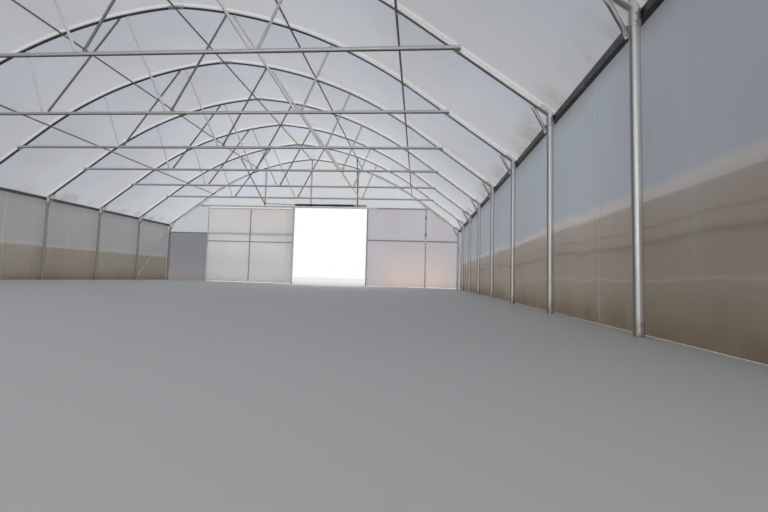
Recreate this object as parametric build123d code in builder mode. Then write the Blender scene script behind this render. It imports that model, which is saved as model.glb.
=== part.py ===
from build123d import *
import os
from math import asin, atan2, cos, hypot, pi, radians, sin, sqrt, tan

# A polytunnel greenhouse: tube arches on upright posts, trussed inside, covered
# with film. X runs across, Y along towards the doorway end, Z up from the ground.

# Overall form
half_width = 4800.0          # tunnel centre to post centre
knee_height = 1880.0         # where post and arch axes meet
ridge_height = 4130.0        # where the two arch axes meet
leg_pitch = 36.35            # slope of the straight leg above the knee, degrees
leg_run = 1300.0             # the straight leg's length across
bay_length = 2000.0
bay_count = 9

# Tubes and bars
tube_sides = 8               # a round tube's faces; its radius reaches each face's middle
post_radius = 30.0           # posts and arches
tie_radius = 24.0
web_radius = 16.0
brace_radius = 16.0
purlin_radius = 13.5
rail_width = 40.0            # eave rail, across
rail_depth = 60.0            # eave rail, up and down
stud_size = 40.0             # square bars of the end walls

# Truss
tie_height = 2520.0
tie_end_gap = 10.0           # tie end to the roof film
web_high_inner = 810.0       # from the ridge line to the inner joint on the arch
web_low_outer = 1890.0       # from the ridge line to the outer joint on the tie
web_high_outer = 2320.0      # from the ridge line to the outer joint on the arch
web_spacing = 30.0           # bar axis to the joint's centre, where two bars meet
brace_drop = 250.0           # knee brace foot below the knee
brace_reach = 200.0          # knee brace head inside the post line
upper_purlin_x = 1740.0
lower_purlin_x = 3340.0

# Fittings
sleeve_wall = 3.0
sleeve_length = 120.0        # each way from the joint
clamp_wall = 5.0
clamp_width = 46.0
clamp_bite = 1.0             # how far the two collars of a clamp run together
clamp_shift = 15.0           # the tie's collar towards the ridge line

# Covers
film_thickness = 3.0
lip_depth = 40.0             # roof film down over the eave rail
skirt_height = 780.0

# End walls
stud_spacing = 1550.0        # gable studs from the ridge line
doorway_start = 0.11         # doorway's left side beyond the ridge line, over half_width
doorway_share = 0.5          # doorway's width, over half_width
side_stud_inset = 177.5      # side stud inside the arch, at the header's foot
left_rail_drop = 280.0       # left mid rail below the knee
right_rail_drop = 400.0      # right mid rails below the knee
corner_brace_drop = 165.0    # corner brace's top below the knee
corner_brace_foot = 90.0

# Sliding door
leaf_inset = 487.5           # parked leaf inside the arch, at the header's foot
leaf_drop = 42.5             # leaf's top under the track
leaf_floor_gap = 30.0
leaf_bar = 25.0
leaf_rail_height = 1340.0
track_size = 45.0
track_wall = 3.0
track_slot = 16.0
track_overrun = 50.0
trolley_inset = 350.0        # trolley from the leaf's edge
wheel_radius = 14.0
wheel_width = 6.0
wheel_spread = 10.0          # wheel centre plane from the bolt's axis
bolt_radius = 5.0
roll_radius = 45.0

# Fits
clearance = 0.3              # between pieces that seat on each other
sleeve_play = 1.4            # bore of a sleeve over its tube
film_play = 1.4              # roof film over the sleeves
overrun = 400.0              # bar stock before its ends are cut

tunnel_length = bay_length * bay_count
end_y = tunnel_length / 2
frame_y = [i * bay_length - end_y for i in range(bay_count + 1)]
inner_frame_y = frame_y[1:-1]

# The arch's axis: a straight leg from the knee, then one arc to the ridge
pitch = radians(leg_pitch)
tangent_x = half_width - leg_run
tangent_z = knee_height + leg_run * tan(pitch)
chord = hypot(tangent_x, ridge_height - tangent_z)
chord_pitch = atan2(ridge_height - tangent_z, tangent_x)
arc_radius = chord / (2 * sin(pitch - chord_pitch))
centre_x = tangent_x - arc_radius * sin(pitch)
centre_z = tangent_z - arc_radius * cos(pitch)
ridge_angle = asin(-centre_x / arc_radius)


def arch_height(x):
    """Height of the arch's axis at a distance x from the ridge line."""
    if x > tangent_x:
        return knee_height + (half_width - x) * tan(pitch)
    return centre_z + sqrt(arc_radius**2 - (x - centre_x) ** 2)


def arch_normal(x):
    """Outward direction, square to the arch's axis, as (across, up)."""
    if x > tangent_x:
        return sin(pitch), cos(pitch)
    return (x - centre_x) / arc_radius, (arch_height(x) - centre_z) / arc_radius


def arch_x(z):
    """Distance from the ridge line at which the arch's axis is z high."""
    if z < tangent_z:
        return half_width - (z - knee_height) / tan(pitch)
    return centre_x + sqrt(arc_radius**2 - (z - centre_z) ** 2)


def arch_offset(x, distance):
    """Point at a distance outside the arch's axis, square to it."""
    across, up = arch_normal(x)
    return x + across * distance, arch_height(x) + up * distance


def arc_middle(distance):
    """Point halfway along the arc, at a distance outside the axis."""
    angle = (pitch + ridge_angle) / 2
    reach = arc_radius + distance
    return centre_x + reach * sin(angle), centre_z + reach * cos(angle)


def ridge_offset(distance):
    """Height on the ridge line of the arch's offset curve."""
    return centre_z + sqrt((arc_radius + distance) ** 2 - centre_x**2)


def under_arch(x):
    """Plane just under the arch at x; its normal points down and in."""
    across, up = arch_normal(abs(x))
    side = 1 if x >= 0 else -1
    foot_x, foot_z = arch_offset(abs(x), -post_radius - clearance)
    return Plane(origin=(side * foot_x, 0, foot_z), z_dir=(-side * across, 0, -up))


def tube_section(radius, mode=Mode.ADD):
    """Tube's outline, with flats square to the plane's own axes."""
    turn = 180 / tube_sides
    return RegularPolygon(radius, tube_sides, major_radius=False, rotation=turn, mode=mode)


def bar_across(middle, direction, radius, length):
    """Tube of one length, centred on a point, square to the tunnel's run."""
    with BuildPart() as bar:
        with BuildSketch(Plane(origin=middle, x_dir=(0, 1, 0), z_dir=direction)):
            tube_section(radius)
        extrude(amount=length / 2, both=True)
    return bar.part


def cut_bar(start, end, radius, start_plane, end_plane):
    """Tube along start to end, cut off at two planes that face its middle."""
    axis = (Vector(*end) - Vector(*start)).normalized()
    origin = Vector(*start) - axis * overrun
    length = (Vector(*end) - Vector(*start)).length + 2 * overrun
    with BuildPart() as bar:
        with BuildSketch(Plane(origin=origin, z_dir=axis)):
            tube_section(radius)
        extrude(amount=length)
        split(bisect_by=start_plane, keep=Keep.TOP)
        split(bisect_by=end_plane, keep=Keep.TOP)
    return bar.part


def box_between(x_range, y_range, z_range):
    """Square-cut bar or sheet between two corners."""
    with BuildPart() as block:
        with BuildSketch(Plane.XY.offset(z_range[0])):
            with Locations(((x_range[0] + x_range[1]) / 2, (y_range[0] + y_range[1]) / 2)):
                Rectangle(x_range[1] - x_range[0], y_range[1] - y_range[0])
        extrude(amount=z_range[1] - z_range[0])
    return block.part


def along_tunnel(shape, places):
    """The same piece at each of several places along the tunnel."""
    with BuildPart() as row:
        with Locations(*[(0, y, 0) for y in places]):
            add(shape)
    return row.part


def gather(shapes):
    """Several pieces as one node."""
    with BuildPart() as group:
        for shape in shapes:
            add(shape)
    return group.part


def other_side(shape):
    """The same piece on the other side of the ridge line."""
    with BuildPart() as twin:
        mirror(shape, about=Plane.YZ)
    return twin.part


nodes = {}


def both_sides(name, right_piece):
    nodes[name + "_right"] = right_piece
    nodes[name + "_left"] = other_side(right_piece)


# Posts, cut at the knee's mitre
mitre_angle = (pitch + radians(90)) / 2
mitre_normal = Vector(cos(mitre_angle), 0, -sin(mitre_angle))
knee = Vector(half_width, 0, knee_height)
post_plane = Plane(origin=knee + mitre_normal * clearance / 2, z_dir=mitre_normal)
arch_plane = Plane(origin=knee - mitre_normal * clearance / 2, z_dir=-mitre_normal)

with BuildPart() as post:
    with BuildSketch():
        with Locations((half_width, 0)):
            tube_section(post_radius)
    extrude(amount=knee_height + overrun)
    split(bisect_by=post_plane, keep=Keep.TOP)

both_sides("posts", along_tunnel(post.part, frame_y))

# Half arches, from the knee's mitre to the ridge
leg_direction = Vector(-cos(pitch), 0, sin(pitch))
leg_stock = knee - leg_direction * overrun
middle_x, middle_z = arc_middle(0)
ridge_cut = Plane(origin=(clearance / 2, 0, 0), z_dir=(1, 0, 0))
over_ridge_angle = ridge_angle - post_radius / arc_radius
over_ridge = (
    centre_x + arc_radius * sin(over_ridge_angle),
    0,
    centre_z + arc_radius * cos(over_ridge_angle),
)

with BuildPart() as arch:
    with BuildLine() as arch_axis:
        leg = Line(leg_stock, (tangent_x, 0, tangent_z))
        ThreePointArc(leg @ 1, (middle_x, 0, middle_z), over_ridge)
    with BuildSketch(Plane(origin=leg_stock, x_dir=(0, 1, 0), z_dir=leg_direction)):
        tube_section(post_radius)
    sweep()
    split(bisect_by=arch_plane, keep=Keep.TOP)
    split(bisect_by=ridge_cut, keep=Keep.TOP)

both_sides("arches", along_tunnel(arch.part, frame_y))

# Bent sleeves over the knee and ridge joints
sleeve_bore = post_radius + sleeve_play
sleeve_radius = sleeve_bore + sleeve_wall


def sleeve_half(joint, direction, keep_plane):
    """One arm of a bent sleeve, from the joint's mitre outwards."""
    start = joint - direction * sleeve_radius
    with BuildPart() as arm:
        with BuildSketch(Plane(origin=start, x_dir=(0, 1, 0), z_dir=direction)):
            tube_section(sleeve_radius)
            tube_section(sleeve_bore, mode=Mode.SUBTRACT)
        extrude(amount=sleeve_length + sleeve_radius)
        split(bisect_by=keep_plane, keep=Keep.TOP)
    return arm.part


knee_sleeve = gather(
    [
        sleeve_half(knee, Vector(0, 0, -1), Plane(origin=knee, z_dir=mitre_normal)),
        sleeve_half(knee, leg_direction, Plane(origin=knee, z_dir=-mitre_normal)),
    ]
)
both_sides("knee_sleeves", along_tunnel(knee_sleeve, frame_y))

ridge = Vector(0, 0, ridge_height)
ridge_slope = Vector(cos(ridge_angle), 0, -sin(ridge_angle))
ridge_arm = sleeve_half(ridge, ridge_slope, Plane(origin=ridge, z_dir=(1, 0, 0)))
ridge_sleeve = gather([ridge_arm, other_side(ridge_arm)])
nodes["ridge_sleeves"] = along_tunnel(ridge_sleeve, frame_y)

# Ties, held beside the arches by double collars
film_offset = sleeve_radius + film_play
tie_side = tie_radius + post_radius + 2 * (clamp_wall + clearance) - clamp_bite
tie_top_x = arch_x(tie_height + tie_radius)
tie_half = tie_top_x + film_offset / arch_normal(tie_top_x)[0] - tie_end_gap

across_tunnel = Vector(1, 0, 0)
tie = bar_across((0, -tie_side, tie_height), across_tunnel, tie_radius, 2 * tie_half)
nodes["ties"] = along_tunnel(tie, inner_frame_y)

clamp_x = arch_x(tie_height)
clamp_across, clamp_up = arch_normal(clamp_x)
clamp_axis = Vector(-clamp_up, 0, clamp_across)
tie_bore = tie_radius + clearance
arch_bore = post_radius + clearance
tie_collar = Vector(clamp_x - clamp_shift, -tie_side, tie_height)
arch_collar = Vector(clamp_x, 0, tie_height)
bore_length = 2 * clamp_width

with BuildPart() as clamp:
    add(bar_across(tie_collar, across_tunnel, tie_bore + clamp_wall, clamp_width))
    add(bar_across(arch_collar, clamp_axis, arch_bore + clamp_wall, clamp_width))
    add(bar_across(tie_collar, across_tunnel, tie_bore, bore_length), mode=Mode.SUBTRACT)
    add(bar_across(arch_collar, clamp_axis, arch_bore, bore_length), mode=Mode.SUBTRACT)

both_sides("tie_clamps", along_tunnel(clamp.part, inner_frame_y))

# Web bars between the tie and the arch
tie_top = Plane(origin=(0, 0, tie_height + tie_radius + clearance), z_dir=(0, 0, 1))


def web_bar(tie_x, high_x):
    """Bar from a joint on top of the tie to a joint under the arch."""
    foot = (tie_x, -tie_side, tie_height)
    head = (high_x, 0, arch_height(high_x))
    return cut_bar(foot, head, web_radius, tie_top, under_arch(high_x))


web_bars = {
    "web_centre": web_bar(web_spacing, web_high_inner - web_spacing),
    "web_middle": web_bar(web_low_outer - web_spacing, web_high_inner + web_spacing),
    "web_outer": web_bar(web_low_outer + web_spacing, web_high_outer),
}
for name, bar in web_bars.items():
    both_sides(name, along_tunnel(bar, inner_frame_y))

# Knee braces, from the post's inner face to the underside of the leg
post_face = Plane(origin=(half_width - post_radius - clearance, 0, 0), z_dir=(-1, 0, 0))
brace_head_x = half_width - brace_reach
knee_brace = cut_bar(
    (half_width, 0, knee_height - brace_drop),
    (brace_head_x, 0, arch_height(brace_head_x)),
    brace_radius,
    post_face,
    under_arch(brace_head_x),
)
both_sides("knee_braces", along_tunnel(knee_brace, frame_y))

# Purlins, under the arches and between the end walls
purlin_half = end_y + sleeve_radius - stud_size - clearance


def purlin(x, z, slope=(1, 0, 0)):
    """Tube along the tunnel, a flat of it turned to the slope of the arches."""
    with BuildPart() as tube:
        with BuildSketch(Plane(origin=(x, 0, z), x_dir=slope, z_dir=(0, 1, 0))):
            tube_section(purlin_radius)
        extrude(amount=purlin_half, both=True)
    return tube.part


def arch_purlin(x):
    across, up = arch_normal(x)
    place = arch_offset(x, -post_radius - purlin_radius - clearance)
    return purlin(*place, slope=(up, 0, -across))


ridge_flat = purlin_radius * tan(pi / tube_sides)
under_ridge = sleeve_radius / cos(ridge_angle) + ridge_flat * tan(ridge_angle)
nodes["ridge_purlin"] = purlin(0, ridge_height - under_ridge - clearance - purlin_radius)
both_sides("upper_purlin", arch_purlin(upper_purlin_x))
both_sides("lower_purlin", arch_purlin(lower_purlin_x))

# Eave rails outside the posts, tucked under the roof film
rail_in = half_width + sleeve_radius + clearance
rail_out = rail_in + rail_width
film_over_rail = knee_height - (rail_out - half_width) * tan(pitch) + film_offset / cos(pitch)
rail_top = film_over_rail - clearance
rail_bottom = rail_top - rail_depth
rail_half = end_y + sleeve_radius
eave_rail = box_between(
    (rail_in, rail_out), (-rail_half, rail_half), (rail_bottom, rail_top)
)
both_sides("eave_rail", eave_rail)

# Side films and skirts, hanging outside the eave rails
film_half = rail_half + clearance + film_thickness
side_in = rail_out + clearance
side_out = side_in + film_thickness
skirt_in = side_out + clearance
skirt_out = skirt_in + film_thickness
film_run = (-film_half, film_half)
side_film = box_between((side_in, side_out), film_run, (0, rail_top - film_thickness))
skirt_film = box_between((skirt_in, skirt_out), film_run, (0, skirt_height))
both_sides("side_film", side_film)
both_sides("skirt_film", skirt_film)

# Roof film over the arches, with a lip down over each eave rail


def film_height(x, distance):
    """Height at x of the straight stretch at a distance outside the leg."""
    return knee_height - (x - half_width) * tan(pitch) + distance / cos(pitch)


roof_in = film_offset
roof_out = film_offset + film_thickness
lip_bottom = rail_top - lip_depth

with BuildPart() as roof_film:
    with BuildSketch(Plane.XZ):
        with BuildLine():
            lip = Polyline(
                arch_offset(tangent_x, roof_in),
                (skirt_in, film_height(skirt_in, roof_in)),
                (skirt_in, lip_bottom),
                (skirt_out, lip_bottom),
                (skirt_out, film_height(skirt_out, roof_out)),
                arch_offset(tangent_x, roof_out),
            )
            ThreePointArc(lip @ 0, arc_middle(roof_in), (0, ridge_offset(roof_in)))
            ThreePointArc(lip @ 1, arc_middle(roof_out), (0, ridge_offset(roof_out)))
            Line((0, ridge_offset(roof_in)), (0, ridge_offset(roof_out)))
        make_face()
        mirror(about=Plane.YZ)
    extrude(amount=film_half, both=True)

nodes["roof_film"] = roof_film.part

# Frames and films of the end walls, inside the roof film
edge_offset = film_offset - clearance
stud_out = end_y + sleeve_radius
stud_in = stud_out - stud_size
wall_film_in = stud_out + clearance
wall_film_out = wall_film_in + film_thickness
header_bottom = tie_height - stud_size / 2
header_top = tie_height + stud_size / 2
header_end_x = arch_x(header_bottom)
doorway_left = -doorway_start * half_width
doorway_right = doorway_left + doorway_share * half_width
side_stud_x = header_end_x - side_stud_inset


def end_film(x_range, z_range, side):
    """Part of an end wall's film; side is 1 at the doorway end and -1 at the other."""
    low, high = sorted((side * wall_film_in, side * wall_film_out))
    with BuildPart() as sheet:
        with BuildSketch(Plane.XZ.offset(-high)):
            with BuildLine():
                edge = Polyline(
                    (0, 0),
                    (rail_out, 0),
                    (rail_out, film_height(rail_out, edge_offset)),
                    arch_offset(tangent_x, edge_offset),
                )
                peak = (0, ridge_offset(edge_offset))
                ThreePointArc(edge @ 1, arc_middle(edge_offset), peak)
                Line(peak, (0, 0))
            make_face()
            mirror(about=Plane.YZ)
        extrude(amount=film_thickness)
        add(box_between(x_range, (low, high), z_range), mode=Mode.INTERSECT)
    return sheet.part


full_width = (-rail_out, rail_out)
above_ridge = ridge_height + overrun
below_header = (0, header_bottom - clearance)
nodes["far_gable_film"] = end_film(full_width, (header_bottom, above_ridge), 1)
nodes["far_left_film"] = end_film((-rail_out, doorway_left), below_header, 1)
nodes["far_right_film"] = end_film((doorway_right, rail_out), below_header, 1)
nodes["near_end_film"] = end_film(full_width, (0, above_ridge), -1)


def end_bar(x_range, z_range, side):
    low, high = sorted((side * stud_in, side * stud_out))
    return box_between(x_range, (low, high), z_range)


def header_bar(side):
    """Bar from arch to arch, its ends cut to the slope of the arches."""
    end_x = arch_x(tie_height)
    with BuildPart() as cut:
        add(end_bar((-half_width, half_width), (header_bottom, header_top), side))
        split(bisect_by=under_arch(end_x), keep=Keep.TOP)
        split(bisect_by=under_arch(-end_x), keep=Keep.TOP)
    return cut.part


under_ridge_sleeve = sleeve_radius / cos(ridge_angle) + sleeve_radius * tan(ridge_angle)
ridge_stop = Plane(origin=(0, 0, ridge_height - under_ridge_sleeve), z_dir=(0, 0, -1))


def gable_stud(x, side):
    """Upright on the header, its head cut to the arch above it."""
    x_range = (x - stud_size / 2, x + stud_size / 2)
    head = under_arch(x) if x else ridge_stop
    with BuildPart() as cut:
        add(end_bar(x_range, (header_top + clearance, ridge_height), side))
        split(bisect_by=head, keep=Keep.TOP)
    return cut.part


def lower_stud(x_range, side):
    return end_bar(x_range, (0, header_bottom - clearance), side)


def mid_rail(x_range, height, side):
    z_range = (height - stud_size / 2, height + stud_size / 2)
    return end_bar((x_range[0] + clearance, x_range[1] - clearance), z_range, side)


gable_x = [-stud_spacing, 0, stud_spacing]
left_rail_height = knee_height - left_rail_drop
right_rail_height = knee_height - right_rail_drop
post_inside = half_width - post_radius
for name, side in (("far", 1), ("near", -1)):
    nodes[name + "_header"] = header_bar(side)
    nodes[name + "_gable_studs"] = gather([gable_stud(x, side) for x in gable_x])

left_jamb = (doorway_left - stud_size, doorway_left)
right_jamb = (doorway_right, doorway_right + stud_size)
side_stud = (side_stud_x - stud_size / 2, side_stud_x + stud_size / 2)
nodes["door_jambs"] = gather([lower_stud(left_jamb, 1), lower_stud(right_jamb, 1)])
nodes["far_side_stud"] = lower_stud(side_stud, 1)
nodes["far_mid_rails"] = gather(
    [
        mid_rail((-post_inside, left_jamb[0]), left_rail_height, 1),
        mid_rail((right_jamb[1], side_stud[0]), right_rail_height, 1),
        mid_rail((side_stud[1], post_inside), right_rail_height, 1),
    ]
)

near_studs = [(x - stud_size / 2, x + stud_size / 2) for x in gable_x]
nodes["near_studs"] = gather([lower_stud(x_range, -1) for x_range in near_studs])
near_stops = [-post_inside] + [x for x_range in near_studs for x in x_range] + [post_inside]
near_bays = zip(near_stops[0::2], near_stops[1::2])
nodes["near_mid_rails"] = gather([mid_rail(bay, right_rail_height, -1) for bay in near_bays])

# Corner braces in the last bay of each side wall


def corner_brace(side):
    post_y = side * end_y
    next_y = side * (end_y - bay_length)
    off_post = side * (post_radius + clearance)
    top_face = Plane(origin=(0, post_y - off_post, 0), z_dir=(0, -side, 0))
    foot_face = Plane(origin=(0, next_y + off_post, 0), z_dir=(0, side, 0))
    top = (half_width, post_y, knee_height - corner_brace_drop)
    foot = (half_width, next_y, corner_brace_foot)
    return cut_bar(top, foot, brace_radius, top_face, foot_face)


both_sides("corner_braces", gather([corner_brace(1), corner_brace(-1)]))

# Door track on the header's inner face, a channel open below
leaf_left = leaf_inset - header_end_x
leaf_width = doorway_left - leaf_left
leaf_top = tie_height - track_size / 2 - leaf_drop
leaf_travel = (doorway_left + doorway_right) / 2 - (leaf_left + leaf_width / 2)
track_y = stud_in - clearance - track_size / 2
track_start = leaf_left - track_overrun
track_end = leaf_left + leaf_width + leaf_travel + track_overrun

track_bore = track_size - 2 * track_wall
track_origin = (track_start, track_y, tie_height)

with BuildPart() as door_track:
    with BuildSketch(Plane(origin=track_origin, x_dir=(0, 1, 0), z_dir=(1, 0, 0))):
        Rectangle(track_size, track_size)
        Rectangle(track_bore, track_bore, mode=Mode.SUBTRACT)
        with Locations((0, -track_size / 2)):
            Rectangle(track_slot, 2 * track_wall, mode=Mode.SUBTRACT)
    extrude(amount=track_end - track_start)

nodes["door_track"] = door_track.part

# Rolled-up net over the doorway, lying on the track
roll_y = stud_in - clearance - roll_radius
roll_z = tie_height + track_size / 2 + clearance + roll_radius

with BuildPart() as rolled_net:
    with BuildSketch(Plane(origin=(doorway_left, roll_y, roll_z), z_dir=(1, 0, 0))):
        Circle(roll_radius)
    extrude(amount=doorway_right - doorway_left)

nodes["rolled_net"] = rolled_net.part

# Door leaf: bars round the edge, one upright and one rail across
leaf_right = leaf_left + leaf_width
leaf_middle = (leaf_left + leaf_right) / 2
leaf_height = leaf_top - leaf_floor_gap
leaf_film_y = track_y + leaf_bar / 2 + clearance
leaf_foot = (leaf_middle, track_y - leaf_bar / 2, leaf_floor_gap)

with BuildPart() as leaf_frame:
    with BuildSketch(Plane(origin=leaf_foot, x_dir=(1, 0, 0), z_dir=(0, -1, 0))):
        with Locations((0, leaf_height / 2)):
            Rectangle(leaf_width, leaf_height)
            Rectangle(leaf_width - 2 * leaf_bar, leaf_height - 2 * leaf_bar, mode=Mode.SUBTRACT)
            Rectangle(leaf_bar, leaf_height)
        with Locations((0, leaf_rail_height - leaf_floor_gap)):
            Rectangle(leaf_width, leaf_bar)
    extrude(amount=-leaf_bar)

nodes["door_leaf_frame"] = leaf_frame.part
nodes["door_leaf_film"] = box_between(
    (leaf_left, leaf_right),
    (leaf_film_y, leaf_film_y + film_thickness),
    (leaf_floor_gap, leaf_top),
)

# Trolleys: a bolt up through the slot and a wheel on each side of it
wheel_z = tie_height - track_size / 2 + track_wall + clearance + wheel_radius
trolley_x = [leaf_left + trolley_inset, leaf_right - trolley_inset]

with BuildPart() as door_trolleys:
    for x in trolley_x:
        with BuildSketch(Plane(origin=(x, track_y, leaf_top + clearance))):
            Circle(bolt_radius)
        extrude(amount=wheel_z + bolt_radius - leaf_top - clearance)
        with BuildSketch(Plane(origin=(x, track_y, wheel_z), z_dir=(0, 1, 0))):
            Circle(bolt_radius)
        extrude(amount=wheel_spread + wheel_width / 2, both=True)
        for shift in (-wheel_spread, wheel_spread):
            with BuildSketch(Plane(origin=(x, track_y + shift, wheel_z), z_dir=(0, 1, 0))):
                Circle(wheel_radius)
            extrude(amount=wheel_width / 2, both=True)

nodes["door_trolleys"] = door_trolleys.part

os.makedirs("parts", exist_ok=True)
for name, part in nodes.items():
    part.label = name
    export_step(part, f"parts/{name}.step")
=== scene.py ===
from math import asin, atan2, cos, exp, hypot, pi, radians, sin, sqrt, tan

import bpy
from mathutils import Matrix, Vector, noise


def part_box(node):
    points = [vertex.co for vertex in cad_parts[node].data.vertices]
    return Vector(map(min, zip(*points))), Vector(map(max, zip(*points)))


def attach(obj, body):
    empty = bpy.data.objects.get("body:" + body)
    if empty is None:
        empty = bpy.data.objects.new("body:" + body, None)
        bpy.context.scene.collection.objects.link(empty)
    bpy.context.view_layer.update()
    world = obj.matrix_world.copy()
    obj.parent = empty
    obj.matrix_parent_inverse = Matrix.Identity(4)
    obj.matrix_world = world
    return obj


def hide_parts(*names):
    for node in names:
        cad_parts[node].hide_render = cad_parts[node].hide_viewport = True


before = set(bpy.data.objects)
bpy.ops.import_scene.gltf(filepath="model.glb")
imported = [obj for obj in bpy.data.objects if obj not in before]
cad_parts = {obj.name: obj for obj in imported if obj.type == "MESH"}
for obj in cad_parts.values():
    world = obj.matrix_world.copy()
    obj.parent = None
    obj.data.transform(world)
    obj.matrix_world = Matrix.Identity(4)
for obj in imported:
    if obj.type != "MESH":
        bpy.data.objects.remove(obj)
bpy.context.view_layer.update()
SCENE = bpy.context.scene

# Sizes in metres: the frames and the curve of their arches
HALF_WIDTH = 4.8
KNEE = 1.88
RIDGE = 4.13
PITCH = radians(36.35)
LEG_RUN = 1.3
BAY = 2.0
BAYS = 9
END_Y = BAY * BAYS / 2
FRAME_Y = [i * BAY - END_Y for i in range(BAYS + 1)]
INNER_Y = FRAME_Y[1:-1]

TANGENT_X = HALF_WIDTH - LEG_RUN
TANGENT_Z = KNEE + LEG_RUN * tan(PITCH)
CHORD = hypot(TANGENT_X, RIDGE - TANGENT_Z)
CHORD_PITCH = atan2(RIDGE - TANGENT_Z, TANGENT_X)
ARC_R = CHORD / (2 * sin(PITCH - CHORD_PITCH))
CENTRE_X = TANGENT_X - ARC_R * sin(PITCH)
CENTRE_Z = TANGENT_Z - ARC_R * cos(PITCH)
RIDGE_ANGLE = asin(-CENTRE_X / ARC_R)

# Sizes in metres: tubes, bars, films and doorway
POST_R = 0.030
TIE_R = 0.024
WEB_R = 0.016
PURLIN_R = 0.0135
SLEEVE_R = 0.0344
SLEEVE_LENGTH = 0.120
SQUARE = 0.040  # side of the square bars
TIE_Z = 2.52
TIE_SIDE = 0.0636  # from the plane of a frame to the axis of its tie
BRACE_DROP = 0.25
BRACE_REACH = 0.20
PURLIN_X = (1.74, 3.34)
CLEAR = 0.0003
JOINT_GAP = 0.004  # between a web bar's end and the tube beside it

FILM_THICK = 0.003
FILM_OFFSET = 0.0373  # arch axis to the middle of the roof film
FILM_INNER = FILM_OFFSET - FILM_THICK / 2
END_FILM_OFFSET = FILM_OFFSET - 0.0025
FILM_HALF = 9.0362  # from the middle of the tunnel to the ends of its long films

DOORWAY_LEFT = -0.528
DOORWAY_RIGHT = 1.872
LEAF_LEFT = -3.470
LEAF_RIGHT = DOORWAY_LEFT
LEAF_LOW = 0.030
LEAF_TOP = 2.455

X_AXIS = Vector((1, 0, 0))
Y_AXIS = Vector((0, 1, 0))
Z_AXIS = Vector((0, 0, 1))


def arch_height(x, offset=0.0):
    """Height at x of the arch's axis, or of the curve at an offset outside it."""
    x = abs(x)
    if x > TANGENT_X + offset * sin(PITCH):
        return KNEE + (HALF_WIDTH - x) * tan(PITCH) + offset / cos(PITCH)
    return CENTRE_Z + sqrt((ARC_R + offset) ** 2 - (x - CENTRE_X) ** 2)


def arch_normal(x):
    """Outward direction at x, square to the arch, as (across, up)."""
    side = 1 if x >= 0 else -1
    if abs(x) > TANGENT_X:
        return side * sin(PITCH), cos(PITCH)
    return side * (abs(x) - CENTRE_X) / ARC_R, (arch_height(x) - CENTRE_Z) / ARC_R


def arch_x(z, offset=0.0):
    """Distance from the ridge line at which the arch's offset curve is z high."""
    if z < TANGENT_Z + offset * cos(PITCH):
        return HALF_WIDTH - (z - KNEE - offset / cos(PITCH)) / tan(PITCH)
    return CENTRE_X + sqrt((ARC_R + offset) ** 2 - (z - CENTRE_Z) ** 2)


def arch_point(x, y, offset=0.0):
    across, up = arch_normal(x)
    return Vector((x + across * offset, y, arch_height(x) + up * offset))


def wave(*p, seed=0.0):
    """Smooth noise from -1 to 1 at a point of one, two or three numbers."""
    return noise.noise(Vector((*p, 0.0, 0.0)[:3]) + Vector((seed, seed * 1.7, -seed)))


def smooth(t):
    t = min(1.0, max(0.0, t))
    return t * t * (3 - 2 * t)


def between(value, low, high, edge):
    """1 between low and high, easing to 0 over an edge inside each of them."""
    return smooth((value - low) / edge) * smooth((high - value) / edge)


# Mesh building
def new_object(name, data):
    obj = bpy.data.objects.new(name, data)
    SCENE.collection.objects.link(obj)
    return obj


def along_path(path):
    """Each point of a path with its direction there and how much a mitred joint widens it."""
    ways = [(b - a).normalized() for a, b in zip(path, path[1:])]
    for point, before, after in zip(path, ways[:1] + ways, ways + ways[-1:]):
        along = (before + after).normalized()
        yield point, along, 1 / max(0.3, along.dot(before))


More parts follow.
